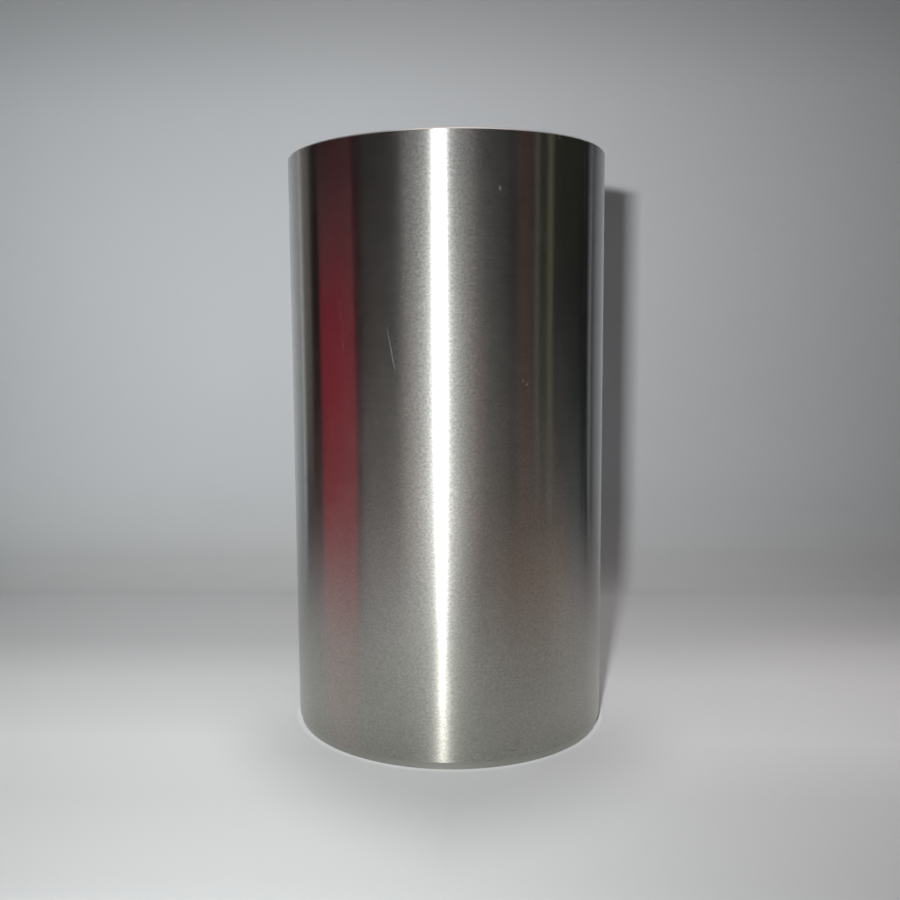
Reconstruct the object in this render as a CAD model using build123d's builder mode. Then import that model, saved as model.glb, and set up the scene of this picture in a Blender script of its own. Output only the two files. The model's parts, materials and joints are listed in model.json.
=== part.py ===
"""Dry cylinder liner: a plain cast iron sleeve, without a flange, that presses into an engine block.

Millimetres. The liner stands on its foot: +Z runs up the bore, the origin is at the centre of the
foot's flat land, and the top of the liner is the end that meets the cylinder head.
"""

import os
from math import radians, tan

from build123d import *

# ---- driving dimensions -------------------------------------------------------------------------
length = 193.0  # from the foot's land to the top land
bore_diameter = 102.0  # honed running surface for the piston
wall = 2.5  # between the bore and the ground outside

foot_lead_length = 2.5  # outside of the foot: taper that starts the liner into the block
foot_lead_angle = 15.0  # from the axis, in degrees
foot_bore_length = 2.0  # inside of the foot: taper that clears the piston skirt
foot_bore_angle = 15.0  # from the axis, in degrees

top_bore_length = 1.0  # inside of the top: taper that gathers the piston rings
top_bore_angle = 30.0  # from the axis, in degrees
top_edge_break = 0.5  # outside of the top: small 45 degree edge break

# ---- sizes that follow --------------------------------------------------------------------------
bore_radius = bore_diameter / 2
outer_radius = bore_radius + wall

foot_lead_depth = foot_lead_length * tan(radians(foot_lead_angle))
foot_bore_depth = foot_bore_length * tan(radians(foot_bore_angle))
top_bore_depth = top_bore_length * tan(radians(top_bore_angle))

# ---- liner: the wall's section turned about the bore axis -----------------------------------------
with BuildPart() as cylinder_liner:
    with BuildSketch(Plane.XZ):
        with BuildLine():
            # Foot land, from the bore taper out to the lead taper.
            foot_land = Line(
                (bore_radius + foot_bore_depth, 0),
                (outer_radius - foot_lead_depth, 0),
            )
            foot_lead = Line(foot_land @ 1, (outer_radius, foot_lead_length))
            ground_wall = Line(foot_lead @ 1, (outer_radius, length - top_edge_break))
            top_break = Line(ground_wall @ 1, (outer_radius - top_edge_break, length))
            # Top land, from the edge break in to the ring taper.
            top_land = Line(top_break @ 1, (bore_radius + top_bore_depth, length))
            top_taper = Line(top_land @ 1, (bore_radius, length - top_bore_length))
            honed_wall = Line(top_taper @ 1, (bore_radius, foot_bore_length))
            Line(honed_wall @ 1, foot_land @ 0)
        make_face()
    revolve(axis=Axis.Z)

cylinder_liner.part.label = "cylinder_liner"

# ---- files ----------------------------------------------------------------------------------------
os.makedirs("parts", exist_ok=True)
export_step(cylinder_liner.part, "parts/cylinder_liner.step")
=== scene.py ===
"""Dresses a dry cylinder liner: a ground cast iron sleeve with a honed bore, stood on pale paper.

Everything is in metres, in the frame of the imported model: +Z runs up the bore from the centre of
the foot, and the liner is seen from -Y. Angles round the liner are counted from -Y towards +X.
"""

import json
import logging
import math
from dataclasses import dataclass, replace
from enum import Enum, IntEnum

import bmesh
import bpy
from mathutils import Matrix, Vector


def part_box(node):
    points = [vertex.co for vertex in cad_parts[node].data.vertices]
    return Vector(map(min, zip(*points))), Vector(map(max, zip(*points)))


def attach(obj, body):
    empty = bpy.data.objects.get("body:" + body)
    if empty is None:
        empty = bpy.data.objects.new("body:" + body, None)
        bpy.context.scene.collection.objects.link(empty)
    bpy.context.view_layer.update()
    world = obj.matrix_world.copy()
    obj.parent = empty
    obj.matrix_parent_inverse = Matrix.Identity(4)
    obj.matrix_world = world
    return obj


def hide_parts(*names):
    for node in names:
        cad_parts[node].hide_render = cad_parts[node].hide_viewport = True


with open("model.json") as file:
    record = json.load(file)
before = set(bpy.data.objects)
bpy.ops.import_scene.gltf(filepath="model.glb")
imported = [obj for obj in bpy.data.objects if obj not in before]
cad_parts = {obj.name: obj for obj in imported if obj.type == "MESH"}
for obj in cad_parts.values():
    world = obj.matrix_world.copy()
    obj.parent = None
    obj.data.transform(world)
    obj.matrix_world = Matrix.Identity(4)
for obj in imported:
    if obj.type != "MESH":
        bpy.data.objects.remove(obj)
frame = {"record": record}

log = logging.getLogger("liner")

MM = 0.001
NODE = "cylinder_liner"
PICTURE_SIDE = 900  # pixels along each side of the picture
RIGHT_ANGLE = 90.0
MIDDLE = 0.5  # the level that noise swings about

Colour = tuple[float, float, float]
Pair = tuple[float, float]
Point = tuple[float, float, float]

WHITE: Colour = (1.0, 1.0, 1.0)


# ---- shader maths ---------------------------------------------------------------------------------
class Signal:
    """A number that comes out of a socket, so that shader maths reads as arithmetic."""

    def __init__(self, graph: "Graph", socket: bpy.types.NodeSocket) -> None:
        """Wraps one output socket.

        Args:
            graph: The graph that the socket belongs to.
            socket: The output socket that carries the number.
        """
        self.graph = graph
        self.socket = socket

    def math(self, operation: str, *others: "Signal | float") -> "Signal":
        """Adds one Math node with this signal as its first value.

        Args:
            operation: The Math node's operation.
            others: The node's further values.

        Returns:
            The node's result.
        """
        return self.graph.math(operation, self, *others)

    def __add__(self, other: "Signal | float") -> "Signal":
        """Returns self + other."""
        return self.math("ADD", other)

    def __radd__(self, other: float) -> "Signal":
        """Returns other + self."""
        return self.math("ADD", other)

    def __sub__(self, other: "Signal | float") -> "Signal":
        """Returns self - other."""
        return self.math("SUBTRACT", other)

    def __rsub__(self, other: float) -> "Signal":
        """Returns other - self."""
        return self.graph.math("SUBTRACT", other, self)

    def __mul__(self, other: "Signal | float") -> "Signal":
        """Returns self * other."""
        return self.math("MULTIPLY", other)

    def __rmul__(self, other: float) -> "Signal":
        """Returns other * self."""
        return self.math("MULTIPLY", other)

    def __truediv__(self, other: "Signal | float") -> "Signal":
        """Returns self / other."""
        return self.math("DIVIDE", other)

    def __rtruediv__(self, other: float) -> "Signal":
        """Returns other / self."""
        return self.graph.math("DIVIDE", other, self)

    def __abs__(self) -> "Signal":
        """Returns the size of self without its sign."""
        return self.math("ABSOLUTE")

    def cos(self) -> "Signal":
        """Returns the cosine of self, in radians."""
        return self.math("COSINE")

    def sin(self) -> "Signal":
        """Returns the sine of self, in radians."""
        return self.math("SINE")

    def most(self, other: "Signal | float") -> "Signal":
        """Returns the larger of self and other."""
        return self.math("MAXIMUM", other)

    def least(self, other: "Signal | float") -> "Signal":
        """Returns the smaller of self and other."""
        return self.math("MINIMUM", other)

    def ease(self, start: float, end: float) -> "Signal":
        """Makes a smooth step.

        Args:
            start: The value of self at which the step is 0.
            end: The value of self at which the step is 1, which may be the smaller one.

        Returns:
            The step.
        """
        settings = {"interpolation_type": "SMOOTHSTEP"}
        sockets = {"Value": self, "From Min": start, "From Max": end}
        if end < start:
            sockets.update({"From Min": end, "From Max": start, "To Min": 1.0, "To Max": 0.0})
        return Signal(self.graph, self.graph.node("ShaderNodeMapRange", settings, sockets).outputs[0])


class Graph:
    """The node tree of one material, lamp or world."""

    def __init__(self, tree: bpy.types.NodeTree) -> None:
        """Empties a node tree and takes it over.

        Args:
            tree: The node tree to build in.
        """
        self.tree = tree
        tree.nodes.clear()

    def node(self, kind: str, settings: dict | None = None, sockets: dict | None = None) -> bpy.types.Node:
        """Adds a node, sets it up and feeds it.

        Args:
            kind: The node's type, such as ShaderNodeMath.
            settings: The node's own properties. "stops" holds a colour ramp's (place, colour) pairs.
            sockets: A value, Signal or output socket for each input, by name or by number.

        Returns:
            The new node.
        """
        made = self.tree.nodes.new(kind)
        for name, value in (settings or {}).items():
            if name == "stops":
                self._set_stops(made.color_ramp, value)
            else:
                setattr(made, name, value)
        for name, value in (sockets or {}).items():
            socket = made.inputs[name]
            if isinstance(value, Signal):
                value = value.socket
            if isinstance(value, bpy.types.NodeSocket):
                self.tree.links.new(value, socket)
            else:
                socket.default_value = value
        return made

    @staticmethod
    def _set_stops(ramp: bpy.types.ColorRamp, stops: list[tuple[float, Colour]]) -> None:
        """Gives a colour ramp its stops.

        Args:
            ramp: The ramp to set.
            stops: Each stop's place from 0 to 1 and its colour, in order.
        """
        while len(ramp.elements) < len(stops):
            ramp.elements.new(1.0)
        for element, (place, colour) in zip(ramp.elements, stops):
            element.position = place
            element.color = (*colour, 1.0)

    def math(self, operation: str, *values: Signal | float) -> Signal:
        """Adds a Math node.

        Args:
            operation: The node's operation.
            values: The node's values, in order.

        Returns:
            The node's result.
        """
        sockets = dict(enumerate(values))
        return Signal(self, self.node("ShaderNodeMath", {"operation": operation}, sockets).outputs[0])

    def tint(self, amount: Signal, first: Colour, second: Colour) -> bpy.types.NodeSocket:
        """Blends two colours.

        Args:
            amount: 0 for the first colour and 1 for the second.
            first: The colour at 0.
            second: The colour at 1.

        Returns:
            The blended colour.
        """
        return self.blend(amount, (*first, 1.0), (*second, 1.0))

    def blend(self, amount: Signal, first: object, second: object) -> bpy.types.NodeSocket:
        """Blends two colours, either of which may be a socket.

        Args:
            amount: 0 for the first colour and 1 for the second.
            first: The colour at 0.
            second: The colour at 1.

        Returns:
            The blended colour.
        """
        settings = {"data_type": "RGBA", "clamp_factor": True}
        return self.node("ShaderNodeMix", settings, {0: amount, 6: first, 7: second}).outputs[2]

    def scaled(self, vector: object, amount: Signal | float) -> bpy.types.NodeSocket:
        """Multiplies a colour or a vector by a number."""
        sockets = {0: vector, "Scale": amount}
        return self.node("ShaderNodeVectorMath", {"operation": "SCALE"}, sockets).outputs[0]

    def vector(self, x: Signal, y: Signal, z: Signal) -> bpy.types.NodeSocket:
        """Joins three signals into a vector."""
        return self.node("ShaderNodeCombineXYZ", None, {"X": x, "Y": y, "Z": z}).outputs[0]

    def noise(self, place: bpy.types.NodeSocket, detail: float = 2.0, rough: float = 0.5) -> Signal:
        """Adds smooth noise with about one feature to each unit of length.

        Args:
            place: Where the noise is read.
            detail: How many finer layers are added.
            rough: How strong each finer layer is beside the one before.

        Returns:
            The noise, from 0 to 1 and mostly near 0.5.
        """
        sockets = {"Vector": place, "Scale": 1.0, "Detail": detail, "Roughness": rough}
        return Signal(self, self.node("ShaderNodeTexNoise", None, sockets).outputs[0])


class Place:
    """Where a point of the liner's surface lies, as signals that every pattern reads."""

    def __init__(self, graph: Graph) -> None:
        """Reads the Object coordinates once for a whole material.

        Args:
            graph: The material's graph.
        """
        self.graph = graph
        self.point = graph.node("ShaderNodeTexCoord").outputs["Object"]
        parts = graph.node("ShaderNodeSeparateXYZ", None, {0: self.point}).outputs
        self.x, self.y, self.z = (Signal(graph, part) for part in parts)
        self.angle = graph.math("ARCTAN2", self.x, self.y * -1.0)
        self.radius = (self.x * self.x + self.y * self.y).math("SQRT")

    def grain(self, across: float, along: float) -> bpy.types.NodeSocket:
        """Stretches space, so that noise there has features of a given size.

        Args:
            across: The size of a feature in X and Y, in metres.
            along: The size of a feature in Z, in metres.

        Returns:
            The stretched point.
        """
        scale = (1.0 / across, 1.0 / across, 1.0 / along)
        return self.graph.node("ShaderNodeMapping", None, {"Vector": self.point, "Scale": scale}).outputs[0]


# ---- finishes -------------------------------------------------------------------------------------
@dataclass(frozen=True)
class Metal:
    """What one machined surface of the iron does with light.

    The grooves of every turned or ground surface run round the axis, as an unlinked tangent does, and
    a quarter turn of the anisotropy stretches highlights across the grooves.
    """

    colour: Colour
    roughness: float
    anisotropy: float
    groove_turn: float = 0.25

    def shader(self, graph: Graph, colour: object, roughness: object, normal: object) -> bpy.types.Node:
        """Adds the surface's shader.

        Args:
            graph: The material's graph.
            colour: The base colour, or the socket that carries it.
            roughness: The roughness, or the signal that carries it.
            normal: The socket that carries the bumped normal.

        Returns:
            The Principled node.
        """
        sockets = {
            "Base Color": colour,
            "Roughness": roughness,
            "Normal": normal,
            "Metallic": 1.0,
            "Anisotropic": self.anisotropy,
            "Anisotropic Rotation": self.groove_turn,
        }
        return graph.node("ShaderNodeBsdfPrincipled", None, sockets)


def dimmed(colour: Colour, part: float) -> Colour:
    """Returns a colour times a number, which brightens it where the number is above 1."""
    return tuple(channel * part for channel in colour)


class Finish:
    """A named material whose nodes a subclass lays out."""

    name = "finish"

    def material(self) -> bpy.types.Material:
        """Makes the material.

        Returns:
            The material, ready for a mesh.
        """
        made = bpy.data.materials.new(self.name)
        made.use_nodes = True
        graph = Graph(made.node_tree)
        surface = self.surface(graph)
        graph.node("ShaderNodeOutputMaterial", None, {"Surface": surface.outputs[0]})
        return made

    def surface(self, graph: Graph) -> bpy.types.Node:
        """Lays out the nodes.

        Args:
            graph: The material's empty graph.

        Returns:
            The shader node that the output takes.
        """
        raise NotImplementedError

    @staticmethod
    def bumped(graph: Graph, height: Signal, depth: float) -> bpy.types.NodeSocket:
        """Turns a height into a normal.

        Args:
            graph: The material's graph.
            height: The height, from 0 to 1.
            depth: How many metres a height of 1 stands for.

        Returns:
            The bumped normal.
        """
        sockets = {"Height": height, "Distance": depth, "Strength": 1.0}
        return graph.node("ShaderNodeBump", None, sockets).outputs[0]


@dataclass(frozen=True)
class Mark:
    """A short scratch or a speck on the wall, which runs straight from one end to the other.

    Each end is (bearing in degrees, height), with its own depth from 0 to 1.
    """

    start: Pair
    end: Pair
    half_width: float
    start_depth: float
    end_depth: float

    def depth(self, place: Place, radius: float) -> Signal:
        """Says how deep the mark is at each point of the wall.

        Args:
            place: Where the surface lies.
            radius: The wall's radius.

        Returns:
            The depth, which is 0 away from the mark.
        """
        first = Vector((math.radians(self.start[0]) * radius, self.start[1]))
        run = Vector((math.radians(self.end[0]) * radius, self.end[1])) - first
        way = run.normalized()
        right = place.angle * radius - first.x
        up = place.z - first.y
        along = right * way.x + up * way.y
        aside = abs(right * way.y - up * way.x)
        ends = along.ease(-self.half_width, self.half_width)
        ends = ends * along.ease(run.length + self.half_width, run.length - self.half_width)
        deepening = along * ((self.end_depth - self.start_depth) / run.length) + self.start_depth
        return aside.ease(self.half_width, 0.0) * ends * deepening


@dataclass(frozen=True)
class GroundWall(Finish):
    """The outside: centreless ground, so that fine lines run round it and a lamp draws out upright.

    Each grain is the size of its features (round the wall, along it). The ground lines, the cloudy
    tone and the fine mottle each shift the shade, the roughness or the height by the part given.
    A band of the lower half is finer than the rest, and the foot is coarser, with a painted warm reflection
    that makes it a little yellower and lighter.
    """

    name = "ground_wall"
    radius: float = 53.5 * MM
    metal: Metal = Metal(colour=(0.42, 0.418, 0.412), roughness=0.2515, anisotropy=1.0)
    darkest: float = 0.76
    lightest: float = 1.24
    line_grain: Pair = (14 * MM, 0.3 * MM)
    line_roughness: float = 0.05
    line_height: float = 0.3
    cloud_grain: Pair = (9 * MM, 14 * MM)
    cloud_shade: float = 0.25
    cloud_roughness: float = 0.04
    mottle_grain: Pair = (0.75 * MM, 0.55 * MM)
    mottle_shade: float = 1.3
    depth: float = 0.0022 * MM
    # Painted warm reflection and light on the foot, which tints it yellower.
    foot_painted_reflection_tint: Colour = (1.01, 1.0, 0.925)
    foot_tint_span: Pair = (90 * MM, 10 * MM)
    finer: float = 0.03
    finer_top: Pair = (104 * MM, 76 * MM)
    finer_foot: Pair = (18 * MM, 44 * MM)
    coarser: float = 0.012
    coarser_foot: Pair = (20 * MM, 0.0)
    scratched_colour: Colour = (0.88, 0.87, 0.85)
    scratched_roughness: float = 0.3
    marks: tuple[Mark, ...] = (
        Mark((-36.8, 144.0 * MM), (-36.3, 129.4 * MM), 0.22 * MM, 0.3, 0.25),
        Mark((-19.15, 135.9 * MM), (-17.9, 129.4 * MM), 0.25 * MM, 0.15, 1.0),
        Mark((-17.9, 129.4 * MM), (-17.3, 126.3 * MM), 0.27 * MM, 1.0, 0.9),
        Mark((-17.3, 126.3 * MM), (-16.75, 123.5 * MM), 0.25 * MM, 0.7, 0.2),
        Mark((17.2, 176.3 * MM), (17.4, 175.4 * MM), 0.45 * MM, 0.8, 1.0),
        Mark((9.1, 153.1 * MM), (9.2, 152.7 * MM), 0.35 * MM, 0.8, 0.8),
        Mark((25.2, 119.9 * MM), (25.5, 119.4 * MM), 0.3 * MM, 0.7, 0.7),
        Mark((26.4, 118.2 * MM), (27.2, 118.8 * MM), 0.25 * MM, 0.7, 0.7),
        Mark((14.9, 106.1 * MM), (14.9, 105.7 * MM), 0.25 * MM, 0.6, 0.6),
        Mark((16.6, 113.2 * MM), (16.6, 112.8 * MM), 0.25 * MM, 0.5, 0.5),
        Mark((12.0, 124.5 * MM), (12.0, 124.1 * MM), 0.25 * MM, 0.5, 0.5),
        Mark((39.3, 191.9 * MM), (39.8, 191.6 * MM), 0.35 * MM, 1.0, 1.0),
    )

    def surface(self, graph: Graph) -> bpy.types.Node:
        """Lays out the ground wall's nodes.

        Args:
            graph: The material's empty graph.

        Returns:
            The shader node.
        """
        place = Place(graph)
        lines = graph.noise(place.grain(*self.line_grain), detail=2.0) - MIDDLE
        cloud = graph.noise(place.grain(*self.cloud_grain), detail=3.0) - MIDDLE
        mottle = graph.noise(place.grain(*self.mottle_grain), detail=1.0) - MIDDLE
        scratched = sum((mark.depth(place, self.radius) for mark in self.marks), 0.0).least(1.0)
        shade = cloud * self.cloud_shade + mottle * self.mottle_shade + MIDDLE
        dark, light = (dimmed(self.metal.colour, part) for part in (self.darkest, self.lightest))
        # Painted reflection: the foot's colour is tinted warmer and lighter.
        painted_foot_reflection = graph.tint(place.z.ease(*self.foot_tint_span), WHITE, self.foot_painted_reflection_tint)
        settings = {"operation": "MULTIPLY"}
        clean = graph.node("ShaderNodeVectorMath", settings, {0: graph.tint(shade, dark, light), 1: painted_foot_reflection})
        colour = graph.blend(scratched, clean.outputs[0], (*self.scratched_colour, 1.0))
        roughness = lines * self.line_roughness + cloud * self.cloud_roughness + self.metal.roughness
        roughness = roughness - place.z.ease(*self.finer_top) * place.z.ease(*self.finer_foot) * self.finer
        roughness = roughness + place.z.ease(*self.coarser_foot) * self.coarser
        roughness = roughness + scratched * self.scratched_roughness
        normal = self.bumped(graph, mottle + lines * self.line_height, self.depth)
        return self.metal.shader(graph, colour, roughness, normal)


@dataclass(frozen=True)
class TurnedEnd(Finish):
    """The end lands and the tapers, as the lathe tool left them."""

    name = "turned_end"
    metal: Metal = Metal(colour=(0.41, 0.405, 0.375), roughness=0.38, anisotropy=0.7)
    darkest: float = 0.85
    lightest: float = 1.1
    line_pitch: float = 0.12 * MM
    change_round: float = 0.4
    line_roughness: float = 0.12
    depth: float = 0.002 * MM

    def surface(self, graph: Graph) -> bpy.types.Node:
        """Lays out the turned ends' nodes.

        Args:
            graph: The material's empty graph.

        Returns:
            The shader node.
        """
        place = Place(graph)
        fine = 1 / self.line_pitch
        sweep = graph.vector(place.radius * fine, place.angle * self.change_round, place.z * fine)
        lines = graph.noise(sweep, detail=2.0)
        dark, light = (dimmed(self.metal.colour, part) for part in (self.darkest, self.lightest))
        colour = graph.tint(lines, dark, light)
        roughness = (lines - MIDDLE) * self.line_roughness + self.metal.roughness
        return self.metal.shader(graph, colour, roughness, self.bumped(graph, lines, self.depth))


@dataclass(frozen=True)
class HonedBore(Finish):
    """The bore: plateau honed, with oil-holding scratches that cross at a steady angle."""

    name = "honed_bore"
    metal: Metal = Metal(colour=(0.44, 0.43, 0.41), roughness=0.33, anisotropy=0.2)
    bore_radius: float = 51 * MM
    crossing_angle: float = 50.0
    line_pitch: float = 0.35 * MM
    line_length: float = 25 * MM
    family_gap: float = 40.0
    cut_levels: Pair = (0.56, 0.68)
    cut_dark: float = 0.72
    cut_shade: float = 0.8
    cut_roughness: float = 0.12
    cloud_grain: Pair = (12 * MM, 18 * MM)
    cloud_shade: float = 0.3
    cloud_roughness: float = 0.05
    depth: float = 0.003 * MM

    def scratches(self, graph: Graph, place: Place, way: float) -> Signal:
        """Lays one family of helical scratches round the bore, which meets itself without a seam.

        Args:
            graph: The material's graph.
            place: Where the surface lies.
            way: 1 for the scratches that climb to the left, and -1 for the others.

        Returns:
            The noise that the scratches follow.
        """
        slope = math.radians(self.crossing_angle / 2)
        climb = math.tan(slope) * self.bore_radius
        turn = place.z * (1 / climb) - place.angle * way
        reach = climb * math.cos(slope) / self.line_pitch
        along = place.z * (1 / self.line_length) + way * self.family_gap
        spot = graph.vector(turn.cos() * reach, turn.sin() * reach, along)
        return graph.noise(spot, detail=3.0, rough=0.6)

    def surface(self, graph: Graph) -> bpy.types.Node:
        """Lays out the honed bore's nodes.

        Args:
            graph: The material's empty graph.

        Returns:
            The shader node.
        """
        place = Place(graph)
        left, right = (self.scratches(graph, place, way) for way in (1.0, -1.0))
        cut = left.ease(*self.cut_levels).most(right.ease(*self.cut_levels))
        cloud = graph.noise(place.grain(*self.cloud_grain), detail=3.0) - MIDDLE
        shade = cut * self.cut_shade + cloud * self.cloud_shade
        colour = graph.tint(shade, self.metal.colour, dimmed(self.metal.colour, self.cut_dark))
        roughness = cut * self.cut_roughness + cloud * self.cloud_roughness + self.metal.roughness
        return self.metal.shader(graph, colour, roughness, self.bumped(graph, 1.0 - cut, self.depth))


@dataclass(frozen=True)
class Paper(Finish):
    """Plain pale paper, which takes a cooler tint where it is bent upright, and whose colour carries
    painted light and shade.

    Its tone stops are (Y, brightness): painted light fall-off along its length, with a painted shade at
    the bend. A lift is painted light that brightens a part of the paper, and a shade is painted shade that
    darkens it. Upright paper lightens at the bend and on the left and falls into shade at its top. Flat
    paper lightens on the right and in front, falls into shade far to the right, and falls into a soft
    shade in front of the liner. A thin ring round the liner's foot lightens. Each pair is where a change
    starts and where it is whole.
    The paper is clear to a camera behind it.
    """

    name = "sweep_paper"
    flat_tint: Colour = (0.96, 1.0, 1.0)
    upright_tint: Colour = (0.967, 1.008, 1.035)
    # Painted light fall-off along the paper, with a painted shade where it bends up.
    tones_with_painted_light: tuple[Pair, ...] = (
        (-0.34, 0.6),
        (-0.115, 0.625),
        (-0.073, 0.7),
        (-0.03, 0.86),
        (0.028, 0.875),
        (0.08, 0.745),
        (0.112, 0.75),
        (0.155, 0.74),
        (0.177, 0.583),
        (0.19, 0.527),
        (0.2, 0.555),
    )
    # Painted light and shade: each lift below is painted light and each shade is painted shade on the
    # paper.
    bend_heights: Pair = (0.02, 0.07)
    bend_painted_light: float = 0.07
    wall_heights: Pair = (0.07, 0.24)
    wall_painted_light: float = 0.125
    left_side: Pair = (-0.1, -0.26)
    left_painted_light: float = 0.1
    right_side: Pair = (0.04, 0.24)
    right_lengths: Pair = (0.12, 0.06)
    right_painted_light: float = 0.26
    far_side: Pair = (0.25, 0.34)
    far_shade: float = 0.5
    front_left: Pair = (-0.02, -0.1)
    front: Pair = (-0.12, -0.16)
    front_painted_light: float = 0.25
    top_heights: Pair = (0.25, 0.34)
    top_shade: float = 0.3
    # A soft painted shade on the flat paper in front of and beside the liner.
    liner_reach: Pair = (0.122, 0.065)
    liner_narrowing: float = 0.37
    liner_front: Pair = (0.01, -0.045)
    liner_shade: float = 0.285
    # A thin ring of painted light on the paper round the liner's foot.
    rim_reach: Pair = (55.2 * MM, 53.9 * MM)
    rim_painted_light: float = 0.16

    def tone(self, graph: Graph, place: Place) -> Signal:
        """Says how bright the paper's colour is at each point, with its painted light and shade.

        Args:
            graph: The material's graph.
            place: Where the surface lies.

        Returns:
            The brightness.
        """
        start, end = self.tones_with_painted_light[0][0], self.tones_with_painted_light[-1][0]
        stops = [((spot - start) / (end - start), (grey, grey, grey)) for spot, grey in self.tones_with_painted_light]
        ramp = graph.node("ShaderNodeValToRGB", {"stops": stops}, {0: (place.y - start) / (end - start)})
        # Painted light on the upright paper: at the bend, up the wall and on the left.
        upright = place.z.ease(*self.bend_heights) * self.bend_painted_light + 1.0
        upright = upright + place.z.ease(*self.wall_heights) * self.wall_painted_light
        upright = upright + place.x.ease(*self.left_side) * self.left_painted_light
        # Painted light on the right and in front, with painted shade far to the right.
        right = place.x.ease(*self.right_side) * place.y.ease(*self.right_lengths) * self.right_painted_light + 1.0
        right = right * (1.0 - place.x.ease(*self.far_side) * self.far_shade)
        front = place.x.ease(*self.front_left) * place.y.ease(*self.front) * self.front_painted_light + 1.0
        # Painted shade at the top of the upright paper.
        top = 1.0 - place.z.ease(*self.top_heights) * self.top_shade
        # Painted shade on the flat paper in front of the liner.
        near = (place.radius + abs(place.x) * self.liner_narrowing).ease(*self.liner_reach)
        near = 1.0 - near * place.y.ease(*self.liner_front) * self.liner_shade
        # Painted light in a thin ring round the liner's foot.
        rim = place.radius.ease(*self.rim_reach) * self.rim_painted_light + 1.0
        return Signal(graph, ramp.outputs[0]) * upright * right * front * top * near * rim

    def surface(self, graph: Graph) -> bpy.types.Node:
        """Lays out the paper's nodes.

        Args:
            graph: The material's empty graph.

        Returns:
            The shader node.
        """
        place = Place(graph)
        tint = graph.tint(place.z.ease(0.0, self.bend_heights[1]), self.flat_tint, self.upright_tint)
        # The paper's colour carries all of its painted light and shade.
        colour = graph.scaled(tint, self.tone(graph, place))
        sheet = graph.node("ShaderNodeBsdfDiffuse", None, {"Color": colour})
        behind = Signal(graph, graph.node("ShaderNodeNewGeometry").outputs["Backfacing"])
        clear = graph.node("ShaderNodeBsdfTransparent")
        sockets = {0: behind, 1: sheet.outputs[0], 2: clear.outputs[0]}
        return graph.node("ShaderNodeMixShader", None, sockets)


@dataclass(frozen=True)
class PaleTable(Finish):
    """The table past the paper. Camera rays see it as painted light, a glow of one pale tone, and other
    rays as plain diffuse of the same colour.
    """

    name = "pale_table"
    seen_colour: Colour = (0.4, 0.4, 0.405)

    def surface(self, graph: Graph) -> bpy.types.Node:
        """Lays out the table's nodes.

        Args:
            graph: The material's empty graph.

        Returns:
            The shader node.
        """
        # Painted light: to the camera the table glows instead of being lit.
        seen = Signal(graph, graph.node("ShaderNodeLightPath").outputs["Is Camera Ray"])
        glow = graph.node("ShaderNodeEmission", None, {"Color": (*self.seen_colour, 1.0), "Strength": 1.0})
        plain = graph.node("ShaderNodeBsdfDiffuse", None, {"Color": (*self.seen_colour, 1.0)})
        return graph.node("ShaderNodeMixShader", None, {0: seen, 1: plain.outputs[0], 2: glow.outputs[0]})


@dataclass(frozen=True)
class Glow(Finish):
    """A card that shines dimly, to be seen in the metal.

    It may fade to both sides of a bearing, by the same part for each step of fade_angle, and may rise
    softly from the first bearing of soft_span to the second. It adds to what stands behind it unless
    it is solid.
    """

    name: str = "glow"
    colour: Colour = (1.0, 1.0, 1.0)
    strength: float = 1.0
    bearing: float = 0.0
    fade_angle: float | None = None
    soft_span: Pair | None = None
    solid: bool = False

    def surface(self, graph: Graph) -> bpy.types.Node:
        """Lays out the card's nodes.

        Args:
            graph: The material's empty graph.

        Returns:
            The shader node.
        """
        place = Place(graph)
        shine = 1.0
        if self.fade_angle is not None:
            aside = abs(place.angle - math.radians(self.bearing))
            shine = (aside * (-1 / math.radians(self.fade_angle))).math("EXPONENT")
        if self.soft_span is not None:
            shine = place.angle.ease(*(math.radians(end) for end in self.soft_span)) * shine
        sockets = {"Color": graph.scaled(self.colour, shine), "Strength": self.strength}
        light = graph.node("ShaderNodeEmission", None, sockets)
        if self.solid:
            return light
        clear = graph.node("ShaderNodeBsdfTransparent")
        return graph.node("ShaderNodeAddShader", None, {0: light.outputs[0], 1: clear.outputs[0]})


# ---- the liner ------------------------------------------------------------------------------------
class Region(IntEnum):
    """The liner's machined surfaces, numbered as its material slots."""

    WALL = 0
    END = 1
    BORE = 2


@dataclass(frozen=True)
class Nick:
    """A small dent in the top's outside edge."""

    bearing: float
    half_width: float = 0.9 * MM
    depth: float = 0.3 * MM
    reach: float = 0.8 * MM

    def press(self, shape: bmesh.types.BMesh, corner: Vector) -> None:
        """Presses the dent into the mesh, inwards and down.

        Args:
            shape: The liner's mesh.
            corner: (radius, height) of the corner that the edge would have without its break.
        """
        turn = math.radians(self.bearing)
        out = Vector((math.sin(turn), -math.cos(turn), 0.0))
        aside = Vector((math.cos(turn), math.sin(turn), 0.0))
        middle = out * corner.x + Vector((0.0, 0.0, corner.y))
        for vert in shape.verts:
            offset = vert.co - middle
            if offset.length > self.half_width + self.reach:
                continue
            across = 1.0 - abs(offset.dot(aside)) / self.half_width
            near = 1.0 - (offset - aside * offset.dot(aside)).length / self.reach
            if across > 0 and near > 0:
                vert.co -= (out + Vector((0.0, 0.0, 1.0))) * (self.depth * across * near)


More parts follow.
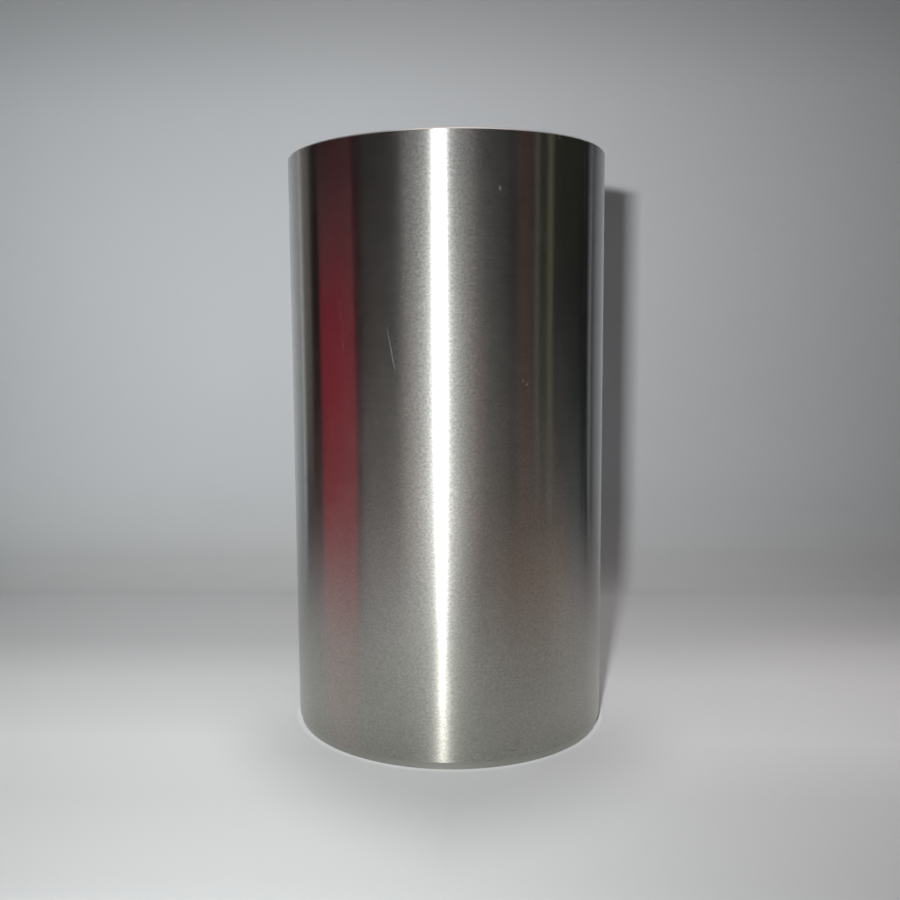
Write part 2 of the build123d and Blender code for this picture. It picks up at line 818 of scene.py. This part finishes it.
@dataclass
class Liner:
    """The liner itself, turned from its wall's section."""

    length: float
    outer_radius: float
    bore_radius: float
    foot_lead_length: float = 2.5 * MM
    foot_lead_angle: float = 15.0
    foot_bore_length: float = 2.0 * MM
    foot_bore_angle: float = 15.0
    top_bore_length: float = 1.0 * MM
    top_bore_angle: float = 30.0
    top_edge_break: float = 0.5 * MM
    edge_radius: float = 0.06 * MM
    edge_steps: int = 3
    steps_round: int = 720
    same_place: float = 1e-7
    nicks: tuple[Nick, ...] = (
        Nick(bearing=54.2),
        Nick(bearing=39.4, half_width=0.7 * MM, depth=0.15 * MM),
    )

    def corners(self) -> list[Pair]:
        """Lists the corners of the wall's section.

        Returns:
            (radius, height) of each corner, from the bore's foot up and round to the foot land.
        """
        foot_lead = self.foot_lead_length * math.tan(math.radians(self.foot_lead_angle))
        foot_bore = self.foot_bore_length * math.tan(math.radians(self.foot_bore_angle))
        top_bore = self.top_bore_length * math.tan(math.radians(self.top_bore_angle))
        return [
            (self.bore_radius, self.foot_bore_length),
            (self.bore_radius, self.length - self.top_bore_length),
            (self.bore_radius + top_bore, self.length),
            (self.outer_radius - self.top_edge_break, self.length),
            (self.outer_radius, self.length - self.top_edge_break),
            (self.outer_radius, self.foot_lead_length),
            (self.outer_radius - foot_lead, 0.0),
            (self.bore_radius + foot_bore, 0.0),
        ]

    def region(self, face: bmesh.types.BMFace) -> Region:
        """Says which machined surface a face belongs to.

        Args:
            face: A face of the liner.

        Returns:
            Its region.
        """
        radii = [Vector((vert.co.x, vert.co.y)).length for vert in face.verts]
        near = self.edge_radius
        if min(radii) > self.outer_radius - near:
            return Region.WALL
        if max(radii) < self.bore_radius + near:
            return Region.BORE
        return Region.END

    def build(self) -> bpy.types.Object:
        """Spins the section round the axis and breaks its edges.

        Returns:
            The liner's object, at the origin.
        """
        shape = bmesh.new()
        ring = [shape.verts.new((radius, 0.0, height)) for radius, height in self.corners()]
        section = shape.faces.new(ring)
        bmesh.ops.bevel(
            shape,
            geom=list(section.verts),
            affect="VERTICES",
            offset=self.edge_radius,
            segments=self.edge_steps,
            profile=0.5,
            material=-1,
        )
        broken = max(shape.faces, key=lambda face: face.calc_area())
        outline = [Vector((vert.co.x, vert.co.z)) for vert in broken.verts]
        bmesh.ops.delete(shape, geom=list(shape.faces), context="FACES_ONLY")
        bmesh.ops.spin(
            shape,
            geom=list(shape.verts) + list(shape.edges),
            cent=(0.0, 0.0, 0.0),
            axis=(0.0, 0.0, 1.0),
            angle=2 * math.pi,
            steps=self.steps_round,
            use_merge=True,
        )
        bmesh.ops.recalc_face_normals(shape, faces=list(shape.faces))
        for face in shape.faces:
            face.smooth = True
            face.material_index = self.region(face)
        for edge in shape.edges:
            first, second = (vert.co for vert in edge.verts)
            level = abs(first.z - second.z) < self.same_place
            same_reach = abs(first.xy.length - second.xy.length) < self.same_place
            edge.smooth = not (level and same_reach)
        self.unroll(shape, outline)
        for nick in self.nicks:
            nick.press(shape, Vector((self.outer_radius, self.length)))
        mesh = bpy.data.meshes.new("liner")
        shape.to_mesh(mesh)
        shape.free()
        piece = bpy.data.objects.new("liner", mesh)
        bpy.context.scene.collection.objects.link(piece)
        return piece

    @staticmethod
    def unroll(shape: bmesh.types.BMesh, outline: list[Vector]) -> None:
        """Maps the liner as one sheet: U runs once round the axis, and V once round the section.

        Args:
            shape: The liner's mesh.
            outline: (radius, height) of the section's corners, in order.
        """
        layer = shape.loops.layers.uv.new("OFBake")
        reach = [0.0]
        for here, there in zip(outline, outline[1:] + outline[:1]):
            reach.append(reach[-1] + (there - here).length)
        for face in shape.faces:
            centre = face.calc_center_median()
            middle = math.atan2(centre.y, centre.x) % (2 * math.pi)
            spots = [Vector((loop.vert.co.xy.length, loop.vert.co.z)) for loop in face.loops]
            steps = [min(range(len(outline)), key=lambda i: (outline[i] - spot).length) for spot in spots]
            closes = max(steps) - min(steps) > 1
            for loop, step in zip(face.loops, steps):
                turn = math.atan2(loop.vert.co.y, loop.vert.co.x) - middle
                turn = (turn + math.pi) % (2 * math.pi) - math.pi
                level = reach[-1] if closes and step == 0 else reach[step]
                loop[layer].uv = ((middle + turn) / (2 * math.pi), level / reach[-1])

    def dress(self, piece: bpy.types.Object) -> None:
        """Gives each machined surface its finish.

        Args:
            piece: The liner's object.
        """
        finishes = {
            Region.WALL: GroundWall(radius=self.outer_radius),
            Region.END: TurnedEnd(),
            Region.BORE: HonedBore(bore_radius=self.bore_radius),
        }
        for region in Region:
            piece.data.materials.append(finishes[region].material())


# ---- stage ----------------------------------------------------------------------------------------
class Seen(Enum):
    """Which rays see a piece of the stage."""

    BY_ALL = "all"
    IN_METAL = "metal"
    NOT_IN_METAL = "not metal"


@dataclass(frozen=True)
class ArcCard:
    """A card that only the metal sees, swept round the liner's axis from one bearing to another.

    Bearings are in degrees from -Y towards +X. Reaches are how far its two edges are from the axis,
    and heights are the edges' own.
    """

    glow: Glow
    bearings: Pair
    heights: Pair
    reaches: Pair
    steps: int = 24


@dataclass
class Stage:
    """The paper sweep, the table under it and the cards round it."""

    cards: list[ArcCard]
    left: float = -0.3
    right: float = 0.36
    front: float = -0.34
    back: float = 0.2
    bend_radius: float = 0.04
    height: float = 0.42
    table_reach: float = 3.0
    table_drop: float = 0.4 * MM
    bend_steps: int = 24

    def place(self, name: str, shape: bmesh.types.BMesh, finish: Finish, seen: Seen) -> bpy.types.Object:
        """Turns a mesh into a piece of the stage.

        Args:
            name: The piece's name.
            shape: Its mesh, which is freed.
            finish: Its finish.
            seen: Which rays see it.

        Returns:
            The piece.
        """
        mesh = bpy.data.meshes.new(name)
        shape.to_mesh(mesh)
        shape.free()
        mesh.materials.append(finish.material())
        piece = bpy.data.objects.new(name, mesh)
        bpy.context.scene.collection.objects.link(piece)
        if seen is Seen.IN_METAL:
            piece.visible_camera = False
            piece.visible_diffuse = False
            piece.visible_shadow = False
        if seen is Seen.NOT_IN_METAL:
            piece.visible_glossy = False
        return piece

    def sweep(self) -> None:
        """Lays the paper under the liner and bends it up behind. It casts no shadow."""
        shape = bmesh.new()
        ends = [shape.verts.new((side, self.front, 0.0)) for side in (self.left, self.right)]
        edge = shape.edges.new(ends)
        bend_start = self.back - self.bend_radius
        edges = self.pull(shape, [edge], Vector((0.0, bend_start - self.front, 0.0)))
        spun = bmesh.ops.spin(
            shape,
            geom=edges + [vert for item in edges for vert in item.verts],
            cent=(0.0, bend_start, self.bend_radius),
            axis=(1.0, 0.0, 0.0),
            angle=math.pi / 2,
            steps=self.bend_steps,
        )
        last = [item for item in spun["geom_last"] if isinstance(item, bmesh.types.BMEdge)]
        self.pull(shape, last, Vector((0.0, 0.0, self.height - self.bend_radius)))
        bmesh.ops.recalc_face_normals(shape, faces=list(shape.faces))
        floor = min(shape.faces, key=lambda face: face.calc_center_median().z)
        if floor.normal.z < 0:
            bmesh.ops.reverse_faces(shape, faces=list(shape.faces))
        for face in shape.faces:
            face.smooth = True
        self.place("sweep", shape, Paper(), Seen.BY_ALL).visible_shadow = False

    @staticmethod
    def pull(shape: bmesh.types.BMesh, edges: list, way: Vector) -> list:
        """Extrudes edges along a straight line.

        Args:
            shape: The mesh.
            edges: The edges to extrude.
            way: How far they go.

        Returns:
            The new edges at the far end.
        """
        made = bmesh.ops.extrude_edge_only(shape, edges=edges)["geom"]
        verts = [item for item in made if isinstance(item, bmesh.types.BMVert)]
        bmesh.ops.translate(shape, verts=verts, vec=way)
        return [item for item in made if isinstance(item, bmesh.types.BMEdge)]

    def table(self) -> None:
        """Lays the wide table under the sweep, which only other views see."""
        shape = bmesh.new()
        lowered = Matrix.Translation((0.0, 0.0, -self.table_drop))
        bmesh.ops.create_grid(shape, x_segments=1, y_segments=1, size=self.table_reach, matrix=lowered)
        self.place("table", shape, PaleTable(), Seen.NOT_IN_METAL)

    def hang(self, card: ArcCard) -> None:
        """Hangs one card.

        Args:
            card: The card to hang.
        """
        shape = bmesh.new()
        first, last = (math.radians(bearing) for bearing in card.bearings)
        ends = [
            shape.verts.new((reach * math.sin(first), -reach * math.cos(first), height))
            for reach, height in zip(card.reaches, card.heights)
        ]
        edge = shape.edges.new(ends)
        bmesh.ops.spin(
            shape,
            geom=[edge, *ends],
            cent=(0.0, 0.0, 0.0),
            axis=(0.0, 0.0, 1.0),
            angle=last - first,
            steps=card.steps,
        )
        self.place(card.glow.name, shape, card.glow, Seen.IN_METAL)

    def build(self) -> None:
        """Sets up the whole stage."""
        self.sweep()
        self.table()
        for card in self.cards:
            self.hang(card)


# ---- light and camera -----------------------------------------------------------------------------
@dataclass
class Lighting:
    """A small soft lamp beside the lens, a wide one overhead and a dim room.

    The lamp beside the lens hangs twice. Both light the paper, and the metal mirrors only the first.
    Rays that see the room itself find it brighter than the light that it gives.
    """

    camera_place: Point
    key_from_camera: Point = (-23.5 * MM, 0.0, 35 * MM)
    key_turn_left: float = 11.0
    key_tip_down: float = 4.5
    key_spread: float = 126.0
    key_size: Pair = (0.018, 0.006)
    key_power: float = 0.46
    paper_key_power: float = 0.46
    fill_place: Point = (0.08, 0.01, 0.55)
    fill_size: Pair = (0.4, 0.4)
    fill_power: float = 0.2
    fill_colour: Colour = (1.0, 0.86, 0.87)
    fill_spread: float = 80.0
    room: Colour = (0.012, 0.012, 0.0125)
    room_seen: Colour = (0.45, 0.46, 0.47)

    def lamp(self, name: str, place: Vector, way: Vector, size: Pair, power: float) -> bpy.types.Object:
        """Hangs one soft lamp.

        Args:
            name: The lamp's name.
            place: Where it hangs.
            way: The direction that it shines in.
            size: Its width and its height.
            power: Its power in watts.

        Returns:
            The lamp.
        """
        light = bpy.data.lights.new(name, "AREA")
        light.shape = "RECTANGLE"
        light.size, light.size_y = size
        light.energy = power
        lamp = bpy.data.objects.new(name, light)
        lamp.location = place
        lamp.rotation_mode = "QUATERNION"
        lamp.rotation_quaternion = way.to_track_quat("-Z", "Y")
        bpy.context.scene.collection.objects.link(lamp)
        return lamp

    def build(self) -> None:
        """Hangs the lamps and fills the room."""
        turn = math.radians(-self.key_turn_left)
        tip = math.radians(-self.key_tip_down)
        way = Vector((math.sin(turn) * math.cos(tip), math.cos(turn) * math.cos(tip), math.sin(tip)))
        key_place = Vector(self.camera_place) + Vector(self.key_from_camera)
        key = self.lamp("key", key_place, way, self.key_size, self.key_power)
        paper_key = self.lamp("paper_key", key_place, way, self.key_size, self.paper_key_power)
        paper_key.visible_glossy = False
        for lamp in (key, paper_key):
            lamp.data.spread = math.radians(self.key_spread)
        down = Vector((0.0, 0.0, -1.0))
        fill = self.lamp("overhead", Vector(self.fill_place), down, self.fill_size, self.fill_power)
        fill.data.spread = math.radians(self.fill_spread)
        fill.data.color = self.fill_colour
        world = bpy.data.worlds.new("room")
        world.use_nodes = True
        graph = Graph(world.node_tree)
        path = graph.node("ShaderNodeLightPath").outputs
        seen = Signal(graph, path["Is Camera Ray"]).most(Signal(graph, path["Is Glossy Ray"]))
        colour = graph.tint(seen, self.room, self.room_seen)
        background = graph.node("ShaderNodeBackground", None, {"Color": colour, "Strength": 1.0})
        graph.node("ShaderNodeOutputWorld", None, {"Surface": background.outputs[0]})
        bpy.context.scene.world = world


@dataclass
class Viewpoint:
    """The camera, level with the liner's upper half and tipped slightly down."""

    place: Point = (0.0, -341.5 * MM, 130.8 * MM)
    pitch_down: float = 6.175
    turn_left: float = 2.612
    roll_right: float = 0.632
    focal_pixels: float = 971.9
    axis_pixel_x: float = 402.9
    sensor_width: float = 36.0
    nearest: float = 0.01

    def build(self) -> None:
        """Makes the camera and gives it to the scene."""
        data = bpy.data.cameras.new("camera")
        data.sensor_width = self.sensor_width
        data.lens = self.focal_pixels / PICTURE_SIDE * self.sensor_width
        data.shift_x = (PICTURE_SIDE / 2 - self.axis_pixel_x) / PICTURE_SIDE
        data.clip_start = self.nearest
        camera = bpy.data.objects.new("camera", data)
        turned = Matrix.Rotation(math.radians(self.turn_left), 4, "Z")
        tipped = Matrix.Rotation(math.radians(RIGHT_ANGLE - self.pitch_down), 4, "X")
        rolled = Matrix.Rotation(math.radians(-self.roll_right), 4, "Z")
        camera.matrix_world = Matrix.Translation(self.place) @ turned @ tipped @ rolled
        bpy.context.scene.collection.objects.link(camera)
        bpy.context.scene.camera = camera


@dataclass(frozen=True)
class Workshop:
    """What stands round the liner in a dim workshop, as far as its wall mirrors it.

    Bearings are in degrees from -Y towards +X, and each pair of them is (left, right).
    """

    room_reach: float = 0.9
    room_top: float = 0.9
    front: Pair = (-30.0, 25.0)
    halo_change: Pair = (-38.0, -24.0)
    halo_top: float = 0.25
    low_top: float = 0.03
    left_wall_reach: float = 0.91
    box: Pair = (-92.7, -61.0)
    box_reach: float = 0.25
    box_top: float = 0.12
    lid_top: float = 0.16
    shine_top: float = 0.22
    bench: Pair = (-110.0, 110.0)
    bench_height: float = 0.5 * MM
    bench_near: float = 0.2
    bench_right_far: float = 0.34
    bench_middle: float = 0.345
    dark_reach: float = 1.0

    def standing(self, glow: Glow, bearings: Pair, heights: Pair, reach: float | None = None) -> ArcCard:
        """Stands a card upright.

        Args:
            glow: The card's finish.
            bearings: Its two sides.
            heights: Its foot and its top.
            reach: How far it is from the axis, if it isn't at the room's reach.

        Returns:
            The card.
        """
        reach = reach or self.room_reach
        return ArcCard(glow, bearings, heights, reaches=(reach, reach))

    def lying(self, glow: Glow, bearings: Pair, reaches: Pair) -> ArcCard:
        """Lays a card flat on the bench.

        Args:
            glow: The card's finish.
            bearings: Its two sides.
            reaches: How far its near and its far edge are from the axis.

        Returns:
            The card.
        """
        return ArcCard(glow, bearings, (self.bench_height, self.bench_height), reaches)

    def halo_cards(self) -> list[ArcCard]:
        """Makes the halo round the lens, high in front and low on the left.

        Each of the two cards fades out where the other fades in.

        Returns:
            The cards.
        """
        left, right = self.halo_change
        halo = Glow(colour=(0.94, 1.0, 0.95), strength=4.3, bearing=-4.3, fade_angle=10.0)
        high = replace(halo, name="high_lens_halo", soft_span=(left, right))
        low = replace(halo, name="low_lens_halo", soft_span=(right, left))
        return [
            self.standing(high, bearings=(left, 43.0), heights=(-0.16, self.halo_top)),
            self.standing(low, bearings=(-60.0, right), heights=(-0.3, self.low_top)),
        ]

    def wall_cards(self) -> list[ArcCard]:
        """Makes the ceiling, the walls and what opens in them.

        Returns:
            The cards.
        """
        ceiling = Glow(name="ceiling", colour=(0.92, 0.92, 1.0), strength=0.158)
        left_wall = Glow(name="left_wall", colour=(0.88, 1.0, 0.83), strength=0.16)
        right_wall = Glow(name="right_wall", colour=(1.0, 0.95, 0.55), strength=0.028)
        brown_door = Glow(name="brown_door", colour=(1.0, 0.36, 0.22), strength=0.055)
        door_edge = Glow(name="door_edge", colour=(1.0, 0.9, 0.63), strength=0.17)
        window_edge = Glow(name="window_edge", colour=(0.97, 1.0, 0.6), strength=0.2)
        over_halo = (self.halo_top, self.room_top)
        left = (self.box[1], self.front[0])
        return [
            self.standing(ceiling, bearings=(self.front[0], 20.0), heights=over_halo),
            self.standing(left_wall, left, heights=(-0.4, self.low_top), reach=self.left_wall_reach),
            self.standing(right_wall, bearings=(78.0, 112.0), heights=over_halo),
            self.standing(brown_door, bearings=(49.5, 59.5), heights=(-0.3, 0.6)),
            self.standing(door_edge, bearings=(63.0, 66.3), heights=(0.05, 0.8)),
            self.standing(window_edge, bearings=(73.9, 77.7), heights=(0.05, 0.8)),
        ]

    def box_cards(self) -> list[ArcCard]:
        """Makes the red box on the left, with its brighter lid and the shine over it.

        Returns:
            The cards.
        """
        side = Glow(name="red_box", colour=(1.0, 0.01, 0.05), strength=0.27)
        lid = Glow(name="red_lid", colour=(1.0, 0.01, 0.1), strength=0.42)
        shine = Glow(name="box_top", colour=(1.0, 0.88, 0.83), strength=0.082)
        return [
            self.standing(side, self.box, heights=(0.0, self.box_top), reach=self.box_reach),
            self.standing(lid, self.box, heights=(self.box_top, self.lid_top), reach=self.box_reach),
            self.standing(shine, self.box, heights=(self.lid_top, self.shine_top), reach=self.box_reach),
        ]

    def bench_cards(self) -> list[ArcCard]:
        """Makes the bench round the paper.

        Returns:
            The cards.
        """
        front = Glow(name="bench_front", colour=(1.0, 0.5, 0.36), strength=0.4)
        left = Glow(name="bench_left", colour=(1.0, 0.25, 0.25), strength=0.08)
        right = Glow(name="bench_right", colour=(1.0, 0.52, 0.25), strength=0.29, soft_span=(110.0, 70.0))
        back = Glow(name="bench_back", colour=(0.8, 0.97, 1.0), strength=0.115)
        left_part = (self.bench[0], self.front[0])
        right_part = (self.front[1], self.bench[1])
        return [
            self.lying(front, self.front, reaches=(self.bench_middle, self.room_reach)),
            self.lying(left, left_part, reaches=(self.bench_near, self.room_reach)),
            self.lying(right, right_part, reaches=(self.bench_near, self.bench_right_far)),
            self.lying(back, right_part, reaches=(self.bench_middle, self.room_reach)),
        ]

    def cards(self) -> list[ArcCard]:
        """Makes everything that the wall mirrors, with the dark room behind it.

        Returns:
            The cards.
        """
        board = Glow(name="side_board", colour=(1.0, 0.88, 0.8), strength=0.17)
        dark = Glow(name="dark_room", strength=0.004, solid=True)
        return [
            *self.halo_cards(),
            *self.wall_cards(),
            *self.box_cards(),
            *self.bench_cards(),
            self.standing(board, bearings=(-127.0, -111.0), heights=(0.0, self.room_top)),
            self.standing(dark, bearings=(-124.0, 121.0), heights=(-0.5, 1.2), reach=self.dark_reach),
        ]


def main() -> None:
    """Builds the liner, the stage, the light and the camera, and logs the liner's face count."""
    logging.basicConfig(level=logging.INFO, format="%(message)s")
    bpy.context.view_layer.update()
    low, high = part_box(NODE)
    bore = next(mount for mount in frame["record"]["mounts"] if mount["name"] == "bore")
    liner = Liner(
        length=high.z - low.z,
        outer_radius=(high.x - low.x) / 2,
        bore_radius=bore["dims"]["r_mm"] * MM,
    )
    piece = liner.build()
    liner.dress(piece)
    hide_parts(NODE)
    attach(piece, "root")
    log.info("liner: %d faces", len(piece.data.polygons))
    Stage(Workshop().cards()).build()
    log.info("stage: sweep, table and cards")
    viewpoint = Viewpoint()
    viewpoint.build()
    log.info("camera")
    Lighting(camera_place=viewpoint.place).build()
    log.info("lamps and room")
    bpy.context.scene.view_settings.view_transform = "Standard"


if __name__ == "__main__":
    main()
